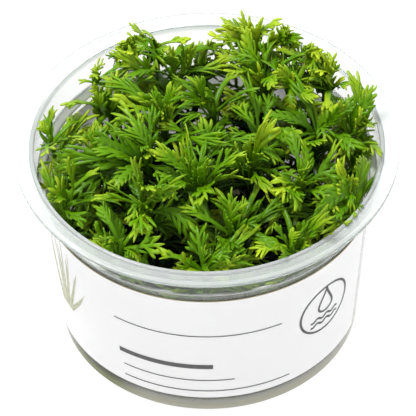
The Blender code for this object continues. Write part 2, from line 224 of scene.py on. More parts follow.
WHORLS = (Whorl(0.97, (30.0, 62.0), ((0.42, 1.0), (0.7, 0.75))), Whorl(0.74, (10.0, 45.0), ((0.5, 1.0),)))
WHORL_BAND = 0.013
FIRST_RING_SHARE = 0.25
RING_BEADS = 10
LEAF_LENGTH = 13.0 * MM
LEAF_WIDTH = 2.2 * MM
# Width along a leaf, as start, rise and fall
LEAF_OUTLINE = (0.6, 1.1, 1.3)
LEAF_STALK = 0.28
LOBE_REACH = 2.6 * MM
LOBE_AHEAD = 0.9
LOBE_UP = 0.15
LOBE_BEADS = ((0.4, 1.0 * MM), (0.7, 0.6 * MM), (1.0, 0.2 * MM))
LEAF_SIZES = (0.85, 1.15)
LEAF_TURN = radians(14.0)
LEAF_CURL = radians(40.0)
LEAF_DROOP = (25.0, 75.0)
LEAF_TRIES = 40
TRY_SHRINK = 0.55
TRY_RISE = 15.0
LEAF_STEPS = 12
FREE_CORNER = ((-31.0 * MM, 18.0 * MM, 30.0 * MM), (-26.5 * MM, 22.5 * MM, 70.0 * MM))

# Finer growth that the solids leave out
EXTRA_SEED = 7
ExtraWhorl = namedtuple("ExtraWhorl", "share rise count size straps")
EXTRA_WHORLS = (
    ExtraWhorl(1.0, (45.0, 88.0), 4, 0.75, False),
    ExtraWhorl(0.94, (30.0, 88.0), 4, 1.15, False),
    ExtraWhorl(0.88, (15.0, 80.0), 4, 1.3, False),
    ExtraWhorl(0.81, (5.0, 75.0), 4, 1.3, True),
    ExtraWhorl(0.68, (0.0, 70.0), 4, 1.2, True),
    ExtraWhorl(0.56, (0.0, 65.0), 4, 1.1, True),
    ExtraWhorl(0.42, (0.0, 60.0), 4, 1.1, True),
    ExtraWhorl(0.3, (0.0, 60.0), 4, 1.1, True),
    ExtraWhorl(0.18, (10.0, 60.0), 3, 1.1, True),
)
# Thinly leaved plantlets in the middle and at the back, with the share of upper and wall leaves they keep
SPARSE_PLANTS = {
    1: 0.4, 2: 0.4, 3: 0.45, 5: 0.7, 7: 0.8, 8: 0.8, 10: 0.35, 11: 0.6,
    12: 0.75, 17: 0.75, 18: 0.8, 19: 0.5, 20: 0.5, 21: 0.65, 22: 0.75,
}
SPARSE_ABOVE = 0.5
EXTRA_DROOP = (10.0, 150.0)
EXTRA_CURL = radians(60.0)
EXTRA_LENGTHS = (0.55, 1.3)
EXTRA_LOBES = (0.8, 1.1)
EXTRA_SINK = 0.05
EXTRA_TURN = 0.6
WHORL_TURN = 11.0
# A leaf that doesn't fit is tried again shorter, narrower and steeper
EXTRA_TRIES = 14
SHORTER = 0.9
NARROWER = 0.93
STEEPER = 0.06
SWEEP = 1.1
CROWN_TILT = (10.0, 55.0)
CROWN_SIZES = (0.85, 1.2)
LEAF_TWIST = 1.4
LEAF_FOLD = (0.0, 0.6)
SOLID_LEAF_TWIST = 0.9
SOLID_LEAF_FOLD = (0.1, 0.5)
EXTRA_TOP = 65.0 * MM
# What leaves are pressed under, and how far they may pass the mouth above the rim
TIP_LIMIT = 66.1 * MM
TIP_SOFTNESS = 1.5 * MM
PRESS_GAP = 0.15 * MM
PRESS_SOFTNESS = 1.0 * MM
OVERHANG = 1.6 * MM
# How high the leaf tips may stand at the back rim, from left to right, in millimetres, and how that
# rises towards the front
BACK_RIM = 38.0 * MM
BACK_SLOPE = 1.03
SKYLINE = (
    (-43.0, 27.0), (-35.0, 38.0), (-27.0, 48.0), (-22.5, 54.0), (-19.0, 60.5), (-15.0, 58.5), (-11.0, 54.5),
    (-7.5, 52.5), (-4.0, 56.5), (0.0, 58.0), (4.0, 62.5), (8.0, 64.0), (12.0, 62.5), (19.0, 62.5),
    (23.0, 57.5), (30.0, 50.5), (34.0, 45.5), (38.0, 43.5), (43.0, 40.5),
)
STEM_RINGS = 22
STEM_ROUND_SIDES = 10
STEM_SWELL = 0.06
STEM_SWELL_RATE = 60.0
STEM_AGE = 0.3
BUD_RADIUS = 0.2 * MM
BLADE_SHARES = (1.0, 0.93, 0.86, 0.8, 0.72, 0.65)
OUTER_RING = 30.0 * MM
# Leaves that lie along the wall beside an outer plantlet
WALL_LEAF_COUNT = 15
WALL_LEAF_SHARES = (0.3, 0.92)
WALL_LEAF_TURNS = (0.5, 1.3)
WALL_LEAF_CURLS = (0.2, 0.9)
WALL_LEAF_RISE = (10.0, 65.0)
WALL_LEAF_DROOP = (0.0, 90.0)
WALL_LEAF_LENGTHS = (0.7, 1.2)
# Leaves that reach over the rim or hang in front, with the places of their tips in millimetres
Reach = namedtuple("Reach", "plant tip droop curl strap fade", defaults=(False, 0.0))
REACHING_LEAVES = (
    Reach(19, (-18.7, 35.0, 63.6), 30.0, -20.0),
    Reach(19, (-14.5, 36.0, 60.4), 60.0, 30.0),
    Reach(18, (3.9, 38.0, 62.6), 50.0, 20.0),
    Reach(18, (8.5, 37.5, 63.9), 40.0, -20.0),
    Reach(18, (15.2, 36.5, 62.2), 60.0, 20.0),
    Reach(18, (19.0, 36.0, 64.2), 70.0, -30.0),
    Reach(17, (30.4, 25.0, 63.0), 50.0, 30.0),
    Reach(16, (37.5, 16.5, 64.6), 80.0, 30.0),
    Reach(16, (41.0, 13.0, 64.6), 60.0, -30.0),
    Reach(10, (-5.0, 37.0, 50.0), 200.0, 10.0, True, 0.2),
    Reach(10, (-1.0, 36.0, 51.5), 190.0, -15.0, True, 0.1),
    Reach(10, (3.5, 35.0, 52.0), 180.0, 20.0, True),
    Reach(24, (-10.0, -41.0, 54.0), 30.0, -20.0, False, 0.7),
    Reach(24, (-5.5, -41.8, 54.8), 40.0, -15.0, False, 0.6),
    Reach(24, (5.5, -42.3, 50.3), 90.0, 15.0, True, 1.6),
    Reach(21, (-41.5, 6.5, 58.5), 60.0, 15.0),
    Reach(25, (10.5, -36.5, 55.8), 60.0, 15.0, False, 0.5),
    Reach(15, (17.5, -22.0, 61.0), 60.0, 15.0, False, 0.4),
    Reach(15, (15.5, -18.0, 61.0), 60.0, -15.0, False, 0.4),
    Reach(5, (-14.0, -11.0, 63.5), 70.0, 15.0, False, 0.5),
)
REACH_SHARE = 0.95
REACH_TRIM = 0.92
REACH_FOLD = 0.2
REACH_TWIST = 0.3
# Side shoots, as the plantlet's number, the place of the top in millimetres and the size of the leaves
SIDE_SHOOTS = (
    (18, (20.0, 33.5, 58.0), 0.85), (17, (26.0, 27.5, 58.5), 0.85), (9, (21.5, 19.5, 56.0), 0.8),
    (19, (-18.0, 33.5, 58.0), 0.7), (10, (-1.0, 30.0, 51.0), 0.6),
)
SHOOT_SHARE = 0.5
SHOOT_WHORLS = 4
BLADE_THICKNESS = 0.24 * MM
RIB_THICKNESS = 0.5 * MM
# Sizes of the flat leaf are in millimetres, for a leaf of this length
BLADE_LENGTH = 13.0
BLADE_STATIONS = 17
# Half width, first station with a lobe, stations from lobe to lobe, their reach and heading, the share
# of them that fork, and how many blades there are
BladeForm = namedtuple("BladeForm", "half first every reach heading forks count")
BLADE_FORMS = (
    BladeForm(0.5, 5, 2, 5.4, (24.0, 42.0), 0.5, 6),
    BladeForm(0.6, 8, 1, 4.6, (26.0, 42.0), 0.0, 5),
    BladeForm(0.45, 6, 2, 6.6, (15.0, 30.0), 0.4, 4),
    BladeForm(0.8, 12, 1, 3.8, (14.0, 28.0), 0.0, 3),
    BladeForm(0.8, 5, 1, 2.9, (30.0, 46.0), 0.0, 5),
)
STRAP_FORM = BladeForm(0.95, 13, 1, 2.4, (8.0, 18.0), 0.0, 3)
# Width along the midrib's strip, as start, rise and fall
MIDRIB_OUTLINE = (0.7, 0.9, 0.95)
RIB_FADE = 0.5
# Beyond this share the strip narrows, and at its end it narrows more
BLADE_TIP_FROM = 0.93
BLADE_TIP_WIDTHS = (0.75, 0.35)
LOBE_FULL = 1.2
LOBE_FALL = 0.65
FIRST_LOBE = 0.75
LOBE_SHAPE = ((0.28, 0.95), (0.58, 1.05), (0.85, 0.75), (1.0, 0.2))
LOBE_HALF_WIDTHS = (0.3, 0.5)
LOBE_SIZES = (0.8, 1.2)
LOBE_LIFT = (-0.11, 0.05)
LOBE_BEND = (5.0, 28.0)
LOBE_RIB = 0.1
FORK_REACH = 2.6
FORK_SIZE = 0.5
FORK_ANGLE = radians(32.0)

# Each plantlet's tone, from green to yellow, which rises towards the wall and the back
PLANT_TONES = (-0.05, 0.3)
OUTER_TONE = 0.6
BACK_TONE = 0.4
TONE_LIMIT = 0.8
LEAF_TONES = 0.24

# Greens of the leaves, linear. They darken downwards and towards the cup's axis: painted shade, a mix towards
# the darkest green where the canopy shades itself
STALK_GREEN = (0.034, 0.105, 0.0005, 1.0)
MIDDLE_GREEN = (0.092, 0.222, 0.0008, 1.0)
TIP_GREEN = (0.42, 0.53, 0.02, 1.0)
UNDERSIDE_GREEN = (0.14, 0.25, 0.015, 1.0)
# Painted shade: the darkest green, mixed into leaves low down and near the cup's axis
PAINTED_SHADE_GREEN = (0.002, 0.01, 0.0003, 1.0)
DARK_BELOW = 41.0 * MM
BRIGHT_ABOVE = 61.0 * MM
SHADED_WITHIN = 27.0 * MM
LIT_BEYOND = 38.0 * MM
TIP_SHARPNESS = 1.8
TIP_SHARE = 0.4
TONE_SHARE = 0.4
UNDERSIDE_SHARE = 0.5
LEAF_CLOUDS = (260.0, 3.0)
LEAF_CLOUD_SPREAD = (0.5, -0.15)
LEAF_GRAIN = 1400.0
# Strength, distance and filter width
LEAF_BUMP = (0.25, 0.2 * MM, 0.1)
LEAF_SURFACE = {
    "Roughness": 0.32, "Specular IOR Level": 0.14, "Subsurface Weight": 0.15,
    "Subsurface Radius": (0.6, 1.0, 0.1), "Subsurface Scale": 0.6 * MM,
}

# Floor and light
WHITE = (1.0, 1.0, 1.0, 1.0)
FLOOR_REACH = 3.0
FLOOR_SURFACE = {
    "Base Color": (0.1, 0.1, 0.1, 1.0), "Roughness": 0.9, "Emission Color": WHITE, "Emission Strength": 0.92,
}
HORIZON_LIGHT = 1.36
ZENITH_LIGHT = 0.88
KEY_PLACE = Vector((-0.25, 0.15, 0.75))
KEY_AIM = Vector((0.0, 0.0, 0.03))
KEY_SIZE = 0.22
KEY_POWER = 7.0

# Camera, fitted to the outlines of the flange, wall and base in the photograph
CAMERA_PLACE = (0.0, -0.763, 0.818)
CAMERA_PITCH = radians(45.79)
CAMERA_ROLL = radians(-1.11)
FOCAL_PIXELS = 4383.0
IMAGE_PIXELS = 416.0
SENSOR_WIDTH = 36.0
CAMERA_REACH = 20.0


def new_object(name, mesh, material):
    piece = bpy.data.objects.new(name, mesh)
    mesh.materials.append(material)
    bpy.context.scene.collection.objects.link(piece)
    return piece


def smooth(mesh, angle):
    mesh.shade_smooth()
    mesh.set_sharp_from_angle(angle=radians(angle))


def tube_faces(rows, size, closed=False):
    """Faces of a tube of rows of corners, closed on itself or with a face at each end."""
    faces = []
    for row in range(rows if closed else rows - 1):
        this = row * size
        following = (row + 1) % rows * size
        for place in range(size):
            after = (place + 1) % size
            faces.append((this + place, this + after, following + after, following + place))
    if not closed:
        faces.append(tuple(reversed(range(size))))
        faces.append(tuple(range((rows - 1) * size, rows * size)))
    return faces


def wall_radius(height):
    """Outer radius of the tapered wall."""
    share = height / STEP_HEIGHT
    return WALL_RADIUS_BOTTOM + (WALL_RADIUS_TOP - WALL_RADIUS_BOTTOM) * share


def room_radius(height):
    """Inner radius of the cup at a height, and of its mouth above that."""
    if height < STEP_HEIGHT + STEP_RISE:
        return wall_radius(height) - WALL_THICKNESS
    share = min((height - STEP_HEIGHT) / (CUP_HEIGHT - STEP_HEIGHT), 1.0)
    neck = NECK_RADIUS_BOTTOM + (NECK_RADIUS_TOP - NECK_RADIUS_BOTTOM) * share
    return min(neck - WALL_THICKNESS, MOUTH_RADIUS)


class Room:
    """The room that stems and leaves take up, kept as beads, so that no two of them touch."""

    def __init__(self):
        self.beads = np.zeros((0, 5))

    def add(self, centres, radii, owner):
        self.beads = np.vstack((self.beads, np.column_stack((centres, radii, np.full(len(radii), owner)))))

    def is_free(self, centres, radii, loose, owner):
        """Whether beads are clear. Those on a leaf's stalk, not loose, may be near their own stem."""
        if not inside_cup(centres, radii):
            return False
        apart = np.linalg.norm(self.beads[:, None, :3] - centres[None], axis=2)
        gaps = apart - self.beads[:, 3:4] - radii[None]
        counted = (self.beads[:, 4:] != owner) | loose[None]
        return bool(gaps[counted].min() > CLEARANCE)


def inside_cup(centres, radii):
    """Whether beads stay off the wall, the gel and the free corner, and under the canopy's top."""
    low, high = FREE_CORNER
    for (x, y, z), radius in zip(centres, radii):
        if hypot(x, y) + radius > room_radius(z - radius) - CLEARANCE:
            return False
        if z - radius < GEL_TOP + GEL_MENISCUS + CLEARANCE or z + radius > CANOPY_TOP:
            return False
        margin = radius + CLEARANCE
        if all(low[axis] - margin < value < high[axis] + margin for axis, value in enumerate((x, y, z))):
            return False
    return True


def plan_stems(rng):
    """Sets the plantlets out in rings on the gel, each leaning a little outwards."""
    low, high = FREE_CORNER
    corner = Vector((0.5 * (low[0] + high[0]), 0.5 * (low[1] + high[1])))
    plants = []
    for ring in PLANT_RINGS:
        for index in range(ring.count):
            turn = radians(ring.first_turn) + index * tau / ring.count
            x = ring.radius * cos(turn) + rng.uniform(-SCATTER, SCATTER)
            y = ring.radius * sin(turn) + rng.uniform(-SCATTER, SCATTER)
            plant = plan_stem(rng, x, y)
            if (plant.top.xy - corner).length > FREE_CORNER_REACH:
                plants.append(plant)
    return plants


def plan_stem(rng, x, y):
    """A plantlet's stem, rooted in the gel at a place, with its top leaning outwards."""
    top = Vector((x * CROWN_SPREAD, y * CROWN_SPREAD, 0.0))
    top.x += rng.uniform(-CROWN_SCATTER, CROWN_SCATTER)
    top.y += rng.uniform(-CROWN_SCATTER, CROWN_SCATTER)
    top *= min(1.0, (MOUTH_RADIUS - CROWN_MARGIN) / top.length)
    top.z = canopy_height(x, y) - rng.uniform(*LEAF_RISE_ABOVE_STEM)
    return SimpleNamespace(
        foot=Vector((x, y, GEL_TOP - ROOT_DEPTH)),
        bend=Vector((x, y, GEL_TOP + 0.5 * (top.z - GEL_TOP))),
        top=top,
        phase=rng.uniform(0.0, tau),
        twist=rng.uniform(-STEM_TWIST, STEM_TWIST),
        leaves=[],
    )


def canopy_height(x, y):
    """Height of the leaf tips over a place: a low dome."""
    out = hypot(x, y) / FIELD_RADIUS
    return CANOPY_MIDDLE - DOME_DROP * out ** 2


def stem_point(plant, share):
    """A point on the stem, which leaves the gel upright and bends towards its top."""
    rest = 1.0 - share
    return rest * rest * plant.foot + 2.0 * rest * share * plant.bend + share * share * plant.top


def stem_radius(share):
    return STEM_RADIUS + (STEM_TIP_RADIUS - STEM_RADIUS) * share


def stem_beads(plant):
    """Beads along a stem, from above the gel up past each whorl to its top."""
    shares = [FIRST_RING_SHARE]
    for whorl in reversed(WHORLS):
        shares += [whorl.share - WHORL_BAND, whorl.share + WHORL_BAND]
    rings = [stem_point(plant, share) for share in shares + [1.0]]
    centres = []
    for low, high in zip(rings, rings[1:]):
        centres += [low.lerp(high, step / RING_BEADS) for step in range(RING_BEADS)]
    return np.array(centres), np.full(len(centres), STEM_RADIUS)


def leaf_path(leaf):
    """Points along a leaf, which starts at its rise and bends down and sideways to its tip."""
    points = [leaf.start]
    for step in range(LEAF_STEPS):
        share = (step + 0.5) / LEAF_STEPS
        rise = leaf.rise - leaf.droop * share
        turn = leaf.turn + leaf.curl * share
        way = Vector((cos(rise) * cos(turn), cos(rise) * sin(turn), sin(rise)))
        points.append(points[-1] + way * (leaf.length / LEAF_STEPS))
    return points


def leaf_width(leaf, share):
    start, rise, fall = LEAF_OUTLINE
    return leaf.width * (start + rise * share - fall * share * share)


def leaf_beads(leaf):
    """Centres and radii of the beads along a leaf and its lobes, and which are clear of its stalk."""
    points = leaf_path(leaf)
    shares = [step / LEAF_STEPS for step in range(1, LEAF_STEPS + 1)]
    centres = points[1:]
    radii = [0.5 * leaf_width(leaf, share) for share in shares]
    loose = [share > LEAF_STALK for share in shares]
    for share, size in leaf.lobes:
        index = int(share * LEAF_STEPS)
        centre = points[index].lerp(points[index + 1], share * LEAF_STEPS - index)
        ahead = (points[index + 1] - points[index]).normalized()
        turn = leaf.turn + leaf.curl * share
        side = Vector((-sin(turn), cos(turn), 0.0))
        way = LOBE_AHEAD * ahead + LOBE_UP * ahead.cross(side)
        for hand in (-1.0, 1.0):
            tip = centre + (hand * side + way) * leaf.lobe * size
            centres += [centre.lerp(tip, place) for place, radius in LOBE_BEADS]
            radii += [radius for place, radius in LOBE_BEADS]
            loose += [True] * len(LOBE_BEADS)
    return np.array(centres), np.array(radii), np.array(loose)


def grow_leaf(rng, room, plant, whorl, face):
    """Tries leaves that get shorter and steeper until one has room, and keeps it."""
    share = whorl.share
    turn = plant.phase + plant.twist * share + FIRST_SIDE + face * tau / STEM_SIDES
    outward = Vector((cos(turn), sin(turn), 0.0))
    start = stem_point(plant, share) + outward * stem_radius(share)
    for attempt in range(LEAF_TRIES):
        effort = attempt / LEAF_TRIES
        shrink = 1.0 - TRY_SHRINK * effort
        leaf = SimpleNamespace(
            start=start,
            turn=turn + rng.uniform(-LEAF_TURN, LEAF_TURN),
            curl=rng.uniform(-LEAF_CURL, LEAF_CURL),
            rise=radians(rng.uniform(*whorl.rise) + TRY_RISE * effort),
            droop=radians(rng.uniform(*LEAF_DROOP)),
            length=LEAF_LENGTH * rng.uniform(*LEAF_SIZES) * shrink,
            width=LEAF_WIDTH * rng.uniform(*LEAF_SIZES),
            lobe=LOBE_REACH * rng.uniform(*LEAF_SIZES) * shrink,
            lobes=whorl.lobes,
        )
        centres, radii, loose = leaf_beads(leaf)
        if room.is_free(centres, radii, loose, plant.number):
            room.add(centres, radii, plant.number)
            plant.leaves.append(leaf)
            return


def plan_plants():
    """Stems first, then the top whorl of every plant, then the lower whorls."""
    rng = random.Random(PLANT_SEED)
    room = Room()
    plants = plan_stems(rng)
    for number, plant in enumerate(plants, start=1):
        plant.number = number
        room.add(*stem_beads(plant), number)
    for whorl in WHORLS:
        for plant in plants:
            for face in range(STEM_SIDES):
                grow_leaf(rng, room, plant, whorl, face)
    return plants


class Blade:
    """A flat lobed leaf in its own plane: X along it and Y across it, in millimetres."""

    def __init__(self, rng, form):
        self.rng = rng
        self.form = form
        self.points = []
        self.faces = []
        self.grow()

    def pair(self, centre, out, rib):
        """Adds the points to the left and right of a centre, and gives their numbers."""
        x, y, lift = centre
        self.points.append((x + out[0], y + out[1], lift, rib))
        self.points.append((x - out[0], y - out[1], lift, rib))
        return len(self.points) - 2, len(self.points) - 1

    def grow(self):
        """The midrib's strip, two faces wide, with lobes from its sides."""
        form = self.form
        start, rise, fall = MIDRIB_OUTLINE
        sides = []
        middles = []
        shares = np.linspace(0.0, 1.0, BLADE_STATIONS)
        for share in shares:
            width = form.half * (start + rise * share - fall * share ** 2)
            if share > BLADE_TIP_FROM:
                width *= BLADE_TIP_WIDTHS[share == 1.0]
            sides.append(self.pair((share * BLADE_LENGTH, 0.0, 0.0), (0.0, width), 0.0))
            middles.append(len(self.points))
            self.points.append((share * BLADE_LENGTH, 0.0, 0.0, 1.0 - RIB_FADE * share))
        for index in range(BLADE_STATIONS - 1):
            left, right = sides[index]
            next_left, next_right = sides[index + 1]
            middle, next_middle = middles[index:index + 2]
            self.faces += [(left, middle, next_middle, next_left), (middle, right, next_right, next_middle)]
        hand = self.rng.choice((0, 1))
        for number, index in enumerate(range(form.first, BLADE_STATIONS - 2, form.every)):
            reach = form.reach * (LOBE_FULL - LOBE_FALL * shares[index]) * (1.0 if number else FIRST_LOBE)
            self.lobe(sides[index:index + 2], 1.0 if (number + hand) % 2 == 0 else -1.0, reach)

    def lobe(self, edge, hand, reach, heading=None):
        """A pointed finger from the left or right side between two pairs of points, which may fork once."""
        rng = self.rng
        near, far = edge
        last = (near[0], far[0]) if hand > 0.0 else (far[1], near[1])
        place = 0.5 * (np.array(self.points[last[0]]) + np.array(self.points[last[1]]))[:3]
        foot = place[2]
        forks = heading is None
        if forks:
            heading = hand * radians(rng.uniform(*self.form.heading))
        bend = -hand * radians(rng.uniform(*LOBE_BEND))
        reach *= rng.uniform(*LOBE_SIZES)
        half = rng.uniform(*LOBE_HALF_WIDTHS)
        lift = rng.uniform(*LOBE_LIFT)
        reached = 0.0
        pairs = []
        for share, size in LOBE_SHAPE:
            turn = heading + bend * share
            place = place + (share - reached) * reach * np.array((cos(turn), sin(turn), 0.0))
            place[2] = foot + lift * (share * reach) ** 2
            reached = share
            pairs.append(self.pair(place, (-sin(turn) * half * size, cos(turn) * half * size), LOBE_RIB))
            self.faces.append((*last, pairs[-1][1], pairs[-1][0]))
            last = pairs[-1]
        if forks and reach > FORK_REACH and rng.random() < self.form.forks:
            self.lobe(pairs[:2], hand, reach * FORK_SIZE, heading + 0.5 * bend + hand * FORK_ANGLE)

    def arrays(self):
        """The blade as arrays: points with their share of the rib, faces, and its rim's edges in order."""
        edges = {edge for face in self.faces for edge in zip(face, face[1:] + face[:1])}
        return np.array(self.points), self.faces, sorted(edge for edge in edges if edge[::-1] not in edges)


class Growth:
    """Gathers the stem and leaves of one plantlet into one mesh."""

    def __init__(self):
        self.points = np.zeros((0, 3))
        self.values = np.zeros((0, 3))
        self.faces = []

    def add(self, points, faces, along, tone, under=0.0):
        self.faces += [tuple(len(self.points) + corner for corner in face) for face in faces]
        self.points = np.vstack((self.points, points))
        values = [np.broadcast_to(value, len(points)) for value in (along, tone, under)]
        self.values = np.vstack((self.values, np.column_stack(values)))

    def mesh(self, name):
        mesh = bpy.data.meshes.new(name)
        mesh.from_pydata(self.points.tolist(), [], self.faces)
        for label, values in zip(("along", "tone", "under"), self.values.T):
            layer = mesh.attributes.new(label, "FLOAT", "POINT")
            layer.data.foreach_set("value", values.astype(np.float32))
        mesh.shade_smooth()
        return mesh


def soft_limit(values, limit, softness):
    """Values that near the limit slow down and never pass it."""
    start = limit - softness
    slowed = limit - softness * np.exp(-np.maximum(values - start, 0.0) / softness)
    return np.where(values > start, slowed, values)


def press_in(points):
    """Presses a leaf's points softly against the wall, the canopy's top and the gel."""
    out = np.hypot(points[:, 0], points[:, 1])
    rooms = np.array([room_radius(height) for height in points[:, 2]])
    rooms += np.where(points[:, 2] > CUP_HEIGHT, OVERHANG, 0.0)
    pressed = soft_limit(out, rooms - PRESS_GAP, PRESS_SOFTNESS)
    factor = pressed / np.maximum(out, TINY)
    floor = GEL_TOP + GEL_MENISCUS
    height = soft_limit(points[:, 2], TIP_LIMIT, TIP_SOFTNESS)
    height = -soft_limit(-height, -floor, PRESS_SOFTNESS)
    return np.column_stack((points[:, 0] * factor, points[:, 1] * factor, height))


def under_skyline(centres):
    """Whether points stay below the tips at the back, as seen from the front and above."""
    across, heights = np.transpose(SKYLINE) * MM
    limits = np.interp(centres[:, 0], across, heights) + BACK_SLOPE * (BACK_RIM - centres[:, 1])
    return bool((centres[:, 2] < limits).all())


def leaf_shell(leaf, blade, fold, twist):
    """Corners and their share along a leaf, for a flat blade laid along its bent path with its thickness."""
    points = blade[0]
    path = np.array(leaf_path(leaf))
    scale = leaf.length / BLADE_LENGTH
    across = leaf.lobe / (LOBE_REACH / MM)
    share = np.clip(points[:, 0] * scale / leaf.length, 0.0, 1.0)
    beyond = np.maximum(points[:, 0:1] * scale - leaf.length, 0.0)
    place = share * LEAF_STEPS
    index = np.minimum(place.astype(int), LEAF_STEPS - 1)
    rest = (place - index)[:, None]
    centre = path[index] * (1.0 - rest) + path[index + 1] * rest
    rise = leaf.rise - leaf.droop * share
    turn = leaf.turn + leaf.curl * share
    ahead = np.column_stack((np.cos(rise) * np.cos(turn), np.cos(rise) * np.sin(turn), np.sin(rise)))
    side = np.column_stack((-np.sin(turn), np.cos(turn), 0.0 * turn))
    up = np.cross(ahead, side)
    centre = centre + ahead * beyond
    roll = (twist * share)[:, None]
    side, up = side * np.cos(roll) + up * np.sin(roll), up * np.cos(roll) - side * np.sin(roll)
    y = points[:, 1:2] * across
    lift = points[:, 2:3] * across
    spread = side * y * cos(fold) + up * (np.abs(y) * sin(fold) + lift)
    half = 0.5 * (BLADE_THICKNESS + (RIB_THICKNESS - BLADE_THICKNESS) * points[:, 3:4])
    top = centre + spread + up * half
    bottom = centre + spread - up * half
    return press_in(np.vstack((top, bottom))), np.concatenate((share, share))


def add_leaf(growth, shell, blade, tone):
    """Adds a leaf's upper and lower side and the rim between them."""
    corners, share = shell
    faces, rim = blade[1:]
    size = len(corners) // 2
    sides = list(faces)
    sides += [tuple(size + corner for corner in reversed(face)) for face in faces]
    sides += [(there, here, size + here, size + there) for here, there in rim]
    growth.add(corners, sides, share, tone, np.repeat((0.0, 1.0), size))


def add_tube(growth, centres, radii, sides, along, tone):
    """A closed round tube through centres."""
    centres = np.array(centres)
    ways = np.gradient(centres, axis=0)
    ways /= np.linalg.norm(ways, axis=1)[:, None]
    points = []
    turns = np.arange(sides) * tau / sides
    for centre, way, radius in zip(centres, ways, radii):
        first = np.cross(way, (1.0, 0.0, 0.0) if abs(way[0]) < MOSTLY else (0.0, 1.0, 0.0))
        first /= np.linalg.norm(first)
        second = np.cross(way, first)
        points.append(centre + radius * (np.outer(np.cos(turns), first) + np.outer(np.sin(turns), second)))
    growth.add(np.vstack(points), tube_faces(len(centres), sides), np.repeat(along, sides), tone)


def fits(leaf, shell):
    """Whether a leaf is inside the cup and below the skyline."""
    centres, radii, loose = leaf_beads(leaf)
    if not inside_cup(centres, radii) or centres[:, 2].max() > EXTRA_TOP:
        return False
    return under_skyline(shell[0])


def extra_leaf(rng, plant, whorl, face, blade):
    """A leaf between those of the solid, shortened until it is inside the cup."""
    share = whorl.share + rng.uniform(-EXTRA_SINK, 0.0)
    turn = plant.phase + rng.uniform(-EXTRA_TURN, EXTRA_TURN) + face * tau / whorl.count
    turn += WHORL_TURN * share
    outward = Vector((cos(turn), sin(turn), 0.0))
    turn += SWEEP * sin(plant.sweep - turn)
    leaf = SimpleNamespace(
        start=stem_point(plant, share) + outward * 0.5 * stem_radius(share),
        turn=turn,
        curl=rng.uniform(-EXTRA_CURL, EXTRA_CURL),
        rise=radians(rng.uniform(*whorl.rise)) + plant.tilt * cos(turn - plant.sweep),
        droop=radians(rng.uniform(*EXTRA_DROOP)),
        length=LEAF_LENGTH * rng.uniform(*EXTRA_LENGTHS) * whorl.size * plant.size,
        width=LEAF_WIDTH,
        lobe=LOBE_REACH * rng.uniform(*EXTRA_LOBES) * sqrt(whorl.size),
        lobes=WHORLS[0].lobes,
    )
    fold = rng.uniform(*LEAF_FOLD)
    twist = rng.uniform(-LEAF_TWIST, LEAF_TWIST)
    for attempt in range(EXTRA_TRIES):
        shell = leaf_shell(leaf, blade, fold, twist)
        if fits(leaf, shell):
            return shell
        leaf.length *= SHORTER
        leaf.lobe *= NARROWER
        leaf.rise += STEEPER
    return None


def wall_leaf(rng, plant, blade):
    """A leaf of an outer plantlet that lies along the wall, which presses it in."""
    share = rng.uniform(*WALL_LEAF_SHARES)
    hand = rng.choice((-1.0, 1.0))
    outward = atan2(plant.top.y, plant.top.x)
    leaf = SimpleNamespace(
        start=stem_point(plant, share),
        turn=outward + hand * rng.uniform(*WALL_LEAF_TURNS),
        curl=hand * rng.uniform(*WALL_LEAF_CURLS),
        rise=radians(rng.uniform(*WALL_LEAF_RISE)),
        droop=radians(rng.uniform(*WALL_LEAF_DROOP)),
        length=LEAF_LENGTH * rng.uniform(*WALL_LEAF_LENGTHS),
        lobe=LOBE_REACH * rng.uniform(*EXTRA_LOBES),
    )
    shell = leaf_shell(leaf, blade, rng.uniform(*LEAF_FOLD), rng.uniform(-LEAF_TWIST, LEAF_TWIST))
    return shell if under_skyline(shell[0]) and clear_of_corner(shell[0]) else None


def clear_of_corner(points):
    """Whether no point is in the free corner."""
    low, high = np.array(FREE_CORNER)
    return not bool(((points > low) & (points < high)).all(axis=1).any())


def solid_leaf(leaf, blade, fold, twist):
    """The fine form of a solid's leaf, a little shorter where its fingers would pass the skyline."""
    for share in BLADE_SHARES:
        shorter = SimpleNamespace(**{**vars(leaf), "length": leaf.length * share})
        shell = leaf_shell(shorter, blade, fold, twist)
        if under_skyline(shell[0]):
            break
    return shell


def reaching_leaf(plant, reach):
    """A long leaf: bowed, and aimed so that it ends at its tip's place."""
    start = stem_point(plant, REACH_SHARE)
    way = Vector(reach.tip) * MM - start
    droop = radians(reach.droop)
    curl = radians(reach.curl)
    half_bow = 0.5 * hypot(droop, curl)
    return SimpleNamespace(
        start=start,
        turn=atan2(way.y, way.x) - 0.5 * curl,
        curl=curl,
        rise=atan2(way.z, way.xy.length) + 0.5 * droop,
        droop=droop,
        length=REACH_TRIM * way.length * half_bow / sin(half_bow),
        lobe=LOBE_REACH,
    )


def side_shoot(rng, plant, top, size):
    """A thinner stem that leaves a plantlet's own and bends up to its top."""
    foot = stem_point(plant, SHOOT_SHARE)
    return SimpleNamespace(
        foot=foot,
        bend=Vector((top.x, top.y, 0.5 * (foot.z + top.z))),
        top=top,
        phase=rng.uniform(0.0, tau),
        sweep=rng.uniform(0.0, tau),
        tilt=radians(rng.uniform(*CROWN_TILT)),
        size=size,
        fullness=1.0,
    )


def add_stem(growth, plant, tone):
    """A stem with slight swellings and a pointed bud."""
    shares = np.linspace(0.0, 1.0, STEM_RINGS)
    centres = [stem_point(plant, share) for share in shares]
    centres.append(stem_point(plant, 1.0) + Vector((0.0, 0.0, BUD_HEIGHT)))
    radii = [stem_radius(share) * (1.0 + STEM_SWELL * sin(STEM_SWELL_RATE * share)) for share in shares]
    add_tube(growth, centres, radii + [BUD_RADIUS], STEM_ROUND_SIDES, np.append(shares, 1.0) * STEM_AGE, tone)


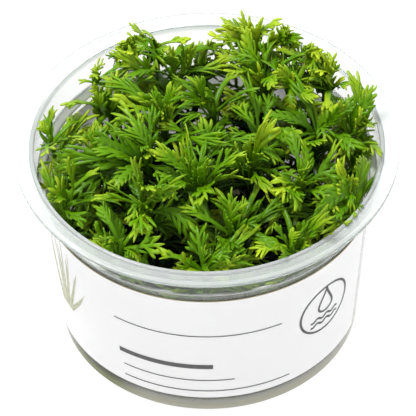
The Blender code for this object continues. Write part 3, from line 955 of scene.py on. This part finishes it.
def add_whorls(growth, rng, plant, whorls, tone):
    """Whorls of leaves up a stem; the lower ones have plain straps among them."""
    for whorl in whorls:
        for face in range(whorl.count):
            blade = rng.choice(BLADES + STRAPS if whorl.straps else BLADES)
            shell = extra_leaf(rng, plant, whorl, face, blade)
            if shell and (whorl.share < SPARSE_ABOVE or rng.random() < plant.fullness):
                add_leaf(growth, shell, blade, rng.gauss(tone, LEAF_TONES))


def add_wall_leaves(growth, rng, plant, tone):
    """Leaves that fill the wall beside an outer plantlet."""
    for number in range(int(WALL_LEAF_COUNT * plant.fullness)):
        blade = rng.choice(BLADES + STRAPS + STRAPS)
        shell = wall_leaf(rng, plant, blade)
        if shell:
            add_leaf(growth, shell, blade, rng.gauss(tone, LEAF_TONES))


def build_plantlet(plant, material):
    """One plantlet: its stem, the leaves of its solid, and the finer leaves and shoots between them."""
    number = plant.number
    rng = random.Random(EXTRA_SEED + number)
    plant.sweep = rng.uniform(0.0, tau)
    plant.tilt = radians(rng.uniform(*CROWN_TILT))
    plant.size = rng.uniform(*CROWN_SIZES)
    plant.fullness = SPARSE_PLANTS.get(number, 1.0)
    outer = plant.top.xy.length
    tone = rng.uniform(*PLANT_TONES) + OUTER_TONE * (outer / MOUTH_RADIUS) ** 2
    tone = min(tone + BACK_TONE * plant.top.y / MOUTH_RADIUS, TONE_LIMIT)
    growth = Growth()
    add_stem(growth, plant, tone)
    for leaf in plant.leaves:
        blade = rng.choice(BLADES)
        fold = rng.uniform(*SOLID_LEAF_FOLD)
        shell = solid_leaf(leaf, blade, fold, rng.uniform(-SOLID_LEAF_TWIST, SOLID_LEAF_TWIST))
        add_leaf(growth, shell, blade, rng.gauss(tone, LEAF_TONES))
    for reach in REACHING_LEAVES:
        if reach.plant == number:
            blade = rng.choice(STRAPS if reach.strap else BLADES)
            shell = leaf_shell(reaching_leaf(plant, reach), blade, REACH_FOLD, REACH_TWIST)
            add_leaf(growth, shell, blade, tone + reach.fade)
    add_whorls(growth, rng, plant, EXTRA_WHORLS, tone)
    for owner, top, size in SIDE_SHOOTS:
        if owner == number:
            branch = side_shoot(rng, plant, Vector(top) * MM, size)
            add_stem(growth, branch, tone)
            add_whorls(growth, rng, branch, EXTRA_WHORLS[:SHOOT_WHORLS], tone)
    if outer > OUTER_RING:
        add_wall_leaves(growth, rng, plant, tone)
    node = f"plantlet_{number:02d}"
    dress(new_object(f"leafy_{node}", growth.mesh(node), material), node)


def new_material(name):
    material = bpy.data.materials.new(name)
    material.use_nodes = True
    return material, material.node_tree


def fill(tree, sockets, values):
    """Joins each named or numbered socket to another one, or gives it a constant."""
    for name, value in values.items():
        if isinstance(value, bpy.types.NodeSocket):
            tree.links.new(value, sockets[name])
        else:
            sockets[name].default_value = value


def add_node(tree, kind, output, *values, **settings):
    """Adds a node, fills its first sockets in their order, and gives one of its outputs."""
    node = tree.nodes.new("ShaderNode" + kind)
    for name, value in settings.items():
        setattr(node, name, value)
    fill(tree, node.inputs, dict(enumerate(values)))
    return node.outputs[output]


def calc(tree, operation, *values):
    """The result of a sum on sockets and constants."""
    return add_node(tree, "Math", "Value", *values, operation=operation)


def object_place(tree, axis=None):
    """The object's own coordinates in metres, or one of them."""
    place = add_node(tree, "TexCoord", "Object")
    return add_node(tree, "SeparateXYZ", axis, place) if axis else place


def noise(tree, scale, detail=2.0):
    """Soft clouds over the object, as a factor."""
    return add_node(tree, "TexNoise", "Fac", object_place(tree), 0.0, scale, detail)


def remap(tree, value, span, result=(0.0, 1.0), easing="LINEAR"):
    """A value's place in a span, as one in another span."""
    return add_node(tree, "MapRange", "Result", value, *span, *result, interpolation_type=easing)


def fade_out(tree, value, span):
    """A factor that falls from one to nothing as a value rises through a span."""
    return remap(tree, value, span, (1.0, 0.0), "SMOOTHSTEP")


def ramp(tree, value, stops):
    """A colour for a value, from stops of place and colour."""
    node = tree.nodes.new("ShaderNodeValToRGB")
    elements = node.color_ramp.elements
    elements[0].position, elements[0].color = stops[0]
    elements[1].position, elements[1].color = stops[-1]
    for place, colour in stops[1:-1]:
        elements.new(place).color = colour
    fill(tree, node.inputs, {"Fac": value})
    return node.outputs["Color"]


def colour_mix(tree, factor, first, second):
    """Mixes a colour socket with a constant colour by a factor."""
    node = tree.nodes.new("ShaderNodeMix")
    node.data_type = "RGBA"
    sockets = {socket.identifier: socket for socket in node.inputs}
    fill(tree, sockets, {"Factor_Float": factor, "A_Color": first, "B_Color": second})
    return next(socket for socket in node.outputs if socket.identifier == "Result_Color")


def fill_shader(tree, *groups):
    """Fills the shader's sockets from groups of names and values."""
    for values in groups:
        fill(tree, tree.nodes["Principled BSDF"].inputs, values)


def leaf_material():
    """Fresh leaf: deep green at the stalk, yellow-green at the tips, with moist gloss, and painted shade low
    down and near the cup's axis.
    """
    material, tree = new_material("leaf_green")
    clouds = calc(tree, "MULTIPLY_ADD", noise(tree, *LEAF_CLOUDS), *LEAF_CLOUD_SPREAD)
    tone = add_node(tree, "Attribute", "Fac", attribute_name="tone")
    tone = calc(tree, "MULTIPLY_ADD", tone, TONE_SHARE, clouds)
    along = add_node(tree, "Attribute", "Fac", attribute_name="along")
    along = calc(tree, "MULTIPLY_ADD", calc(tree, "POWER", along, TIP_SHARPNESS), TIP_SHARE, tone)
    colour = ramp(tree, along, ((0.0, STALK_GREEN), (0.5, MIDDLE_GREEN), (1.0, TIP_GREEN)))
    under = add_node(tree, "Attribute", "Fac", attribute_name="under")
    colour = colour_mix(tree, calc(tree, "MULTIPLY", under, UNDERSIDE_SHARE), colour, UNDERSIDE_GREEN)
    flat = add_node(tree, "VectorMath", "Vector", object_place(tree), (1.0, 1.0, 0.0), operation="MULTIPLY")
    out = add_node(tree, "VectorMath", "Value", flat, operation="LENGTH")
    # Painted shade: leaves low down and near the cup's axis are mixed towards the darkest green
    low = fade_out(tree, object_place(tree, "Z"), (DARK_BELOW, BRIGHT_ABOVE))
    shade = calc(tree, "MULTIPLY", low, fade_out(tree, out, (SHADED_WITHIN, LIT_BEYOND)))
    colour = colour_mix(tree, shade, colour, PAINTED_SHADE_GREEN)
    normal = add_node(tree, "Bump", "Normal", *LEAF_BUMP, noise(tree, LEAF_GRAIN))
    fill_shader(tree, LEAF_SURFACE, {"Base Color": colour, "Normal": normal})
    return material


def cup_material():
    """Clear moulded polypropylene: the wall is clear, the flange and the step's ridge are hazy, and the base
    is dark olive, partly the gel's colour seen through and partly painted shade.
    """
    material, tree = new_material("clear_plastic")
    height = object_place(tree, "Z")
    level = remap(tree, height, (0.0, CUP_HEIGHT))
    top = CUP_HEIGHT / MM
    haze = ramp(tree, level, [(stop / top, (share, share, share, 1.0)) for stop, share in HAZE_STOPS])
    drift = remap(tree, noise(tree, *HAZE_CLOUDS), (0.0, 1.0), HAZE_DRIFT)
    bead = remap(tree, height, BEAD_SPAN, (1.0, 1.0 - BEAD_HAZE))
    # Dark olive tint low down: partly the gel's colour seen through, partly painted shade under the cup
    tint = ramp(tree, level, [(stop / top, colour) for stop, colour in TINT_STOPS])
    low = fade_out(tree, height, MOSSY_BELOW)
    mossy = calc(tree, "MULTIPLY", low, fade_out(tree, object_place(tree, "X"), MOSSY_SIDE))
    fill_shader(tree, {
        "Base Color": colour_mix(tree, mossy, tint, MOSSY_TINT),
        "Transmission Weight": calc(tree, "SUBTRACT", bead, calc(tree, "MULTIPLY", haze, drift)),
        "Roughness": remap(tree, height, FROSTED_SPAN, PLASTIC_ROUGHNESS),
        "IOR": PLASTIC_IOR,
    })
    absorb = add_node(tree, "VolumeAbsorption", "Volume", PLASTIC_TINT, PLASTIC_DENSITY)
    fill(tree, tree.nodes["Material Output"].inputs, {"Volume": absorb})
    return material


def label_material():
    """White film that lets a little light through, with a brownish cut edge."""
    material, tree = new_material("label_film")
    clouds = noise(tree, *LABEL_CLOUDS)
    white = ramp(tree, clouds, ((0.0, LABEL_WHITES[0]), (1.0, LABEL_WHITES[1])))
    edge = remap(tree, object_place(tree, "Z"), (LABEL_TOP - LABEL_EDGE, LABEL_TOP))
    fill_shader(tree, LABEL_SURFACE, {
        "Base Color": colour_mix(tree, edge, white, EDGE_BROWN),
        "Roughness": remap(tree, clouds, (0.0, 1.0), LABEL_ROUGHNESS),
    })
    return material


def ink_material(name, colour):
    """Matt printing ink with a fine uneven grain."""
    material, tree = new_material(name)
    dark = (*[(1.0 - INK_UNEVENNESS) * part for part in colour], 1.0)
    light = (*[(1.0 + INK_UNEVENNESS) * part for part in colour], 1.0)
    uneven = ramp(tree, noise(tree, INK_GRAIN), ((0.3, dark), (0.7, light)))
    fill_shader(tree, {"Base Color": uneven, "Roughness": INK_ROUGHNESS})
    return material


def gel_material():
    """Cloudy agar with darker patches."""
    material, tree = new_material("agar_gel")
    colour = ramp(tree, noise(tree, *GEL_CLOUDS), ((0.3, GEL_DARK), (0.7, GEL_LIGHT)))
    fill_shader(tree, GEL_SURFACE, {"Base Color": colour})
    return material


def fine_rings(first, last, level):
    """Low ripples between the flange's two beads, as sharp points of a profile."""
    shares = np.arange(1, RING_STEPS * RING_COUNT) / (RING_STEPS * RING_COUNT)
    radii = first + (last - first) * shares
    heights = level + RING_HEIGHT * (0.5 - 0.5 * np.cos(shares * RING_COUNT * tau))
    return [(radius, height, 0.0) for radius, height in zip(radii, heights)]


def cup_profile():
    """From the middle of the floor up the inside, over the flange, and down the outside."""
    step_top = STEP_HEIGHT + STEP_RISE
    fillet_foot = CUP_HEIGHT - RIM_FILLET
    flange_top = CUP_HEIGHT - FLANGE_BEAD_HEIGHT
    flange_bottom = CUP_HEIGHT - FLANGE_THICKNESS
    lip = MOUTH_RADIUS + FLANGE_LIP_WIDTH
    rim = FLANGE_RADIUS - FLANGE_BEAD_WIDTH
    return [
        (0.0, FLOOR_THICKNESS, 0.0),
        (wall_radius(FLOOR_THICKNESS) - WALL_THICKNESS, FLOOR_THICKNESS, INSIDE_CORNER),
        (wall_radius(STEP_HEIGHT) - WALL_THICKNESS, STEP_HEIGHT, EDGE_ROUND),
        (NECK_RADIUS_BOTTOM - WALL_THICKNESS, step_top, EDGE_ROUND),
        (NECK_RADIUS_TOP - WALL_THICKNESS, fillet_foot, EDGE_ROUND),
        (MOUTH_RADIUS, CUP_HEIGHT, BEAD_ROUND),
        (lip, CUP_HEIGHT, BEAD_ROUND),
        (lip + FLANGE_BEAD_SLOPE, flange_top, BEAD_ROUND),
        *fine_rings(lip + FLANGE_BEAD_SLOPE, rim - FLANGE_BEAD_SLOPE, flange_top),
        (rim - FLANGE_BEAD_SLOPE, flange_top, BEAD_ROUND),
        (rim, CUP_HEIGHT, BEAD_ROUND),
        (FLANGE_RADIUS, CUP_HEIGHT, FLANGE_BEAD_SLOPE),
        (FLANGE_RADIUS, flange_bottom, FLANGE_UNDER_ROUND),
        (NECK_RADIUS_TOP, flange_bottom, EDGE_ROUND),
        (NECK_RADIUS_TOP, fillet_foot, EDGE_ROUND),
        (NECK_RADIUS_BOTTOM, step_top, EDGE_ROUND),
        (wall_radius(STEP_HEIGHT), STEP_HEIGHT, EDGE_ROUND),
        (wall_radius(0.0), 0.0, BASE_CORNER),
        (0.0, 0.0, 0.0),
    ]


def rounded(points):
    """Bends each corner of a profile of radius, height and rounding, and keeps the straights between them."""
    path = []
    for index, (radius, height, bend) in enumerate(points):
        corner = Vector((radius, height))
        if bend == 0.0:
            path.append(corner)
            continue
        before = Vector(points[index - 1][:2]) - corner
        after = Vector(points[index + 1][:2]) - corner
        cut = min(bend, LONGEST_CUT * before.length, LONGEST_CUT * after.length)
        first = corner + before.normalized() * cut
        last = corner + after.normalized() * cut
        path.append(corner + before.normalized() * cut * ROUND_HOLD)
        for step in range(ROUND_CUTS + 1):
            share = step / ROUND_CUTS
            rest = 1.0 - share
            path.append(rest * rest * first + 2.0 * rest * share * corner + share * share * last)
        path.append(corner + after.normalized() * cut * ROUND_HOLD)
    return path


def turned_solid(name, points, material):
    """A closed turned body from a profile that starts and ends on the axis."""
    path = rounded(points)
    outline = bpy.data.meshes.new(name)
    edges = [(index, index + 1) for index in range(len(path) - 1)]
    outline.from_pydata([(radius, 0.0, height) for radius, height in path], edges, [])
    piece = new_object(name, outline, material)
    screw = piece.modifiers.new("Turn", "SCREW")
    screw.angle = tau
    screw.steps = ROUND_STEPS
    screw.render_steps = ROUND_STEPS
    screw.use_merge_vertices = True
    screw.merge_threshold = MERGE_DISTANCE
    turned = bpy.data.meshes.new_from_object(piece.evaluated_get(bpy.context.evaluated_depsgraph_get()))
    piece.modifiers.clear()
    piece.data = turned
    smooth(turned, SHARP_ANGLE)
    return piece


def dress(piece, node):
    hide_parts(node)
    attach(piece, "root")


def build_cup():
    dress(turned_solid("clear_cup", cup_profile(), cup_material()), "cup")


def build_label():
    """A curved sheet round the wall, with its two ends apart."""
    mesh = bpy.data.meshes.new("wrap_label")
    top = wall_radius(LABEL_TOP) + CLEARANCE
    bottom = wall_radius(LABEL_BOTTOM) + CLEARANCE
    points = (
        (top + LABEL_THICKNESS, LABEL_TOP),
        (bottom + LABEL_THICKNESS, LABEL_BOTTOM),
        (bottom, LABEL_BOTTOM),
        (top, LABEL_TOP),
    )
    verts = []
    for turn in np.radians(np.linspace(LABEL_GAP_END, LABEL_GAP_START + 360.0, ROUND_STEPS + 1)):
        verts += [(radius * cos(turn), radius * sin(turn), height) for radius, height in points]
    mesh.from_pydata(verts, [], tube_faces(ROUND_STEPS + 1, len(points)))
    smooth(mesh, LABEL_SHARP_ANGLE)
    dress(new_object("wrap_label", mesh, label_material()), "label")


def label_point(across, height, lift):
    """A point on the label's outer face: millimetres round from the front, and up from the base."""
    turn = across * MM / LABEL_MEAN_RADIUS
    radius = wall_radius(height * MM) + CLEARANCE + LABEL_THICKNESS + lift
    return (radius * sin(turn), -radius * cos(turn), height * MM)


def ribbon(points, widths, closed):
    """A thin raised stroke on the label along points, as corners and faces of a closed body."""
    points = np.array(points, dtype=float)
    if closed:
        ways = np.roll(points, -1, axis=0) - np.roll(points, 1, axis=0)
    else:
        ways = np.gradient(points, axis=0)
    ways /= np.linalg.norm(ways, axis=1)[:, None]
    widths = np.broadcast_to(widths, len(points))[:, None]
    sides = 0.5 * widths * np.column_stack((-ways[:, 1], ways[:, 0]))
    corners = []
    for left, right in zip(points + sides, points - sides):
        corners += [label_point(*left, INK_RISE), label_point(*right, INK_RISE)]
        corners += [label_point(*right, -INK_RISE), label_point(*left, -INK_RISE)]
    return corners, tube_faces(len(points), 4, closed)


def emblem_strokes():
    """A plain round emblem: a ring round a water drop over two waves."""
    x, y = EMBLEM_PLACE
    turns = np.linspace(0.0, tau, EMBLEM_STEPS, endpoint=False)
    ring = np.column_stack((x + EMBLEM_RADIUS * np.cos(turns), y + EMBLEM_RADIUS * np.sin(turns)))
    drop_turns = turns + 0.5 * pi
    pull = (0.5 + 0.5 * np.cos(turns)) ** DROP_SHARPNESS
    drop_x = x + DROP_RADIUS * np.cos(drop_turns) * (1.0 - pull)
    drop_y = y + DROP_RISE + DROP_RADIUS * (np.sin(drop_turns) + DROP_POINT * pull)
    drop = np.column_stack((drop_x, drop_y))
    strokes = [(ring, EMBLEM_STROKE, True), (drop, EMBLEM_STROKE, True)]
    run = np.linspace(-WAVE_REACH, WAVE_REACH, WAVE_STEPS)
    swell = WAVE_HEIGHT * np.sin(run * tau / WAVE_LENGTH)
    for fall in WAVE_FALLS:
        strokes.append((np.column_stack((x + run, y - fall + swell)), EMBLEM_STROKE, False))
    return strokes


def rule_strokes():
    """Plain rules, as on a form that isn't filled in yet, with a point for each millimetre."""
    strokes = []
    for height, left, right, weight in RULES:
        across = np.linspace(left, right, int(right - left) + 1)
        strokes.append((np.column_stack((across, np.full(len(across), height))), weight, False))
    return strokes


def tuft_strokes(blades):
    """A faded tuft of grass: bowed blades that taper to a point."""
    share = np.linspace(0.0, 1.0, TUFT_STEPS)
    widths = TUFT_WIDTH * (TUFT_TAPER - share) * np.minimum(1.0, TUFT_FOOT_WIDTH + TUFT_SWELL * share)
    strokes = []
    for foot, height, lean, bow in blades:
        across = TUFT_FOOT[0] + foot + lean * share ** TUFT_LEAN_POWER + bow * np.sin(share * pi)
        up = TUFT_FOOT[1] + height * share - TUFT_NOD * abs(lean) * share ** TUFT_NOD_POWER
        strokes.append((np.column_stack((across, up)), widths, False))
    return strokes


def build_print(name, strokes, colour):
    """All strokes of one ink as one thin piece on the label."""
    points = []
    faces = []
    for path, widths, closed in strokes:
        corners, sides = ribbon(path, widths, closed)
        faces += [tuple(len(points) + corner for corner in face) for face in sides]
        points += corners
    mesh = bpy.data.meshes.new(name)
    mesh.from_pydata(points, [], faces)
    piece = new_object(name, mesh, ink_material(name, colour))
    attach(piece, "root")


def build_gel():
    """A disc of set agar that creeps up a little at the wall."""
    bottom = FLOOR_THICKNESS + CLEARANCE
    inset = WALL_THICKNESS + CLEARANCE
    edge = GEL_TOP + GEL_MENISCUS
    points = [
        (0.0, GEL_TOP, 0.0),
        (wall_radius(GEL_TOP) - inset - GEL_MENISCUS_WIDTH, GEL_TOP, GEL_MENISCUS_WIDTH),
        (wall_radius(edge) - inset, edge, BEAD_ROUND),
        (wall_radius(bottom) - inset, bottom, GEL_CORNER),
        (0.0, bottom, 0.0),
    ]
    dress(turned_solid("cloudy_gel", points, gel_material()), "gel")


def build_floor():
    """A pale floor, bright enough to stay white."""
    mesh = bpy.data.meshes.new("floor")
    corners = [(x * FLOOR_REACH, y * FLOOR_REACH, 0.0) for x, y in ((-1, -1), (1, -1), (1, 1), (-1, 1))]
    mesh.from_pydata(corners, [], [(0, 1, 2, 3)])
    material, tree = new_material("floor_white")
    fill_shader(tree, FLOOR_SURFACE)
    new_object("floor", mesh, material)


def build_light():
    """A white world that is brighter low down, and one soft lamp."""
    scene = bpy.context.scene
    scene.world = bpy.data.worlds.new("studio")
    scene.world.use_nodes = True
    tree = scene.world.node_tree
    rise = add_node(tree, "SeparateXYZ", "Z", add_node(tree, "TexCoord", "Generated"))
    strength = remap(tree, rise, (0.0, 1.0), (HORIZON_LIGHT, ZENITH_LIGHT))
    fill(tree, tree.nodes["Background"].inputs, {"Color": WHITE, "Strength": strength})
    data = bpy.data.lights.new("key", "AREA")
    data.shape = "DISK"
    data.size = KEY_SIZE
    data.energy = KEY_POWER
    lamp = bpy.data.objects.new("key", data)
    lamp.location = KEY_PLACE
    lamp.rotation_euler = (KEY_AIM - KEY_PLACE).to_track_quat("-Z", "Y").to_euler()
    scene.collection.objects.link(lamp)
    scene.view_settings.view_transform = "Standard"
    scene.view_settings.look = "None"


def build_camera():
    """The photograph's view: a long lens, 46 degrees down, with a slight roll."""
    data = bpy.data.cameras.new("camera")
    data.sensor_width = SENSOR_WIDTH
    data.lens = FOCAL_PIXELS * SENSOR_WIDTH / IMAGE_PIXELS
    data.clip_end = CAMERA_REACH
    camera = bpy.data.objects.new("camera", data)
    turn = Matrix.Rotation(0.5 * pi - CAMERA_PITCH, 4, "X") @ Matrix.Rotation(CAMERA_ROLL, 4, "Z")
    camera.matrix_world = Matrix.Translation(CAMERA_PLACE) @ turn
    bpy.context.scene.collection.objects.link(camera)
    bpy.context.scene.camera = camera


build_camera()
build_floor()
build_light()
build_cup()
build_label()
build_print("label_rules", rule_strokes() + emblem_strokes(), INK_GREY)
build_print("label_tuft_pale", tuft_strokes(PALE_TUFT), INK_PALE_OLIVE)
build_print("label_tuft", tuft_strokes(DARK_TUFT), INK_OLIVE)
build_gel()
blade_rng = random.Random(EXTRA_SEED)
BLADES = [Blade(blade_rng, form).arrays() for form in BLADE_FORMS for kind in range(form.count)]
STRAPS = [Blade(blade_rng, STRAP_FORM).arrays() for kind in range(STRAP_FORM.count)]
green = leaf_material()
for plant in plan_plants():
    build_plantlet(plant, green)
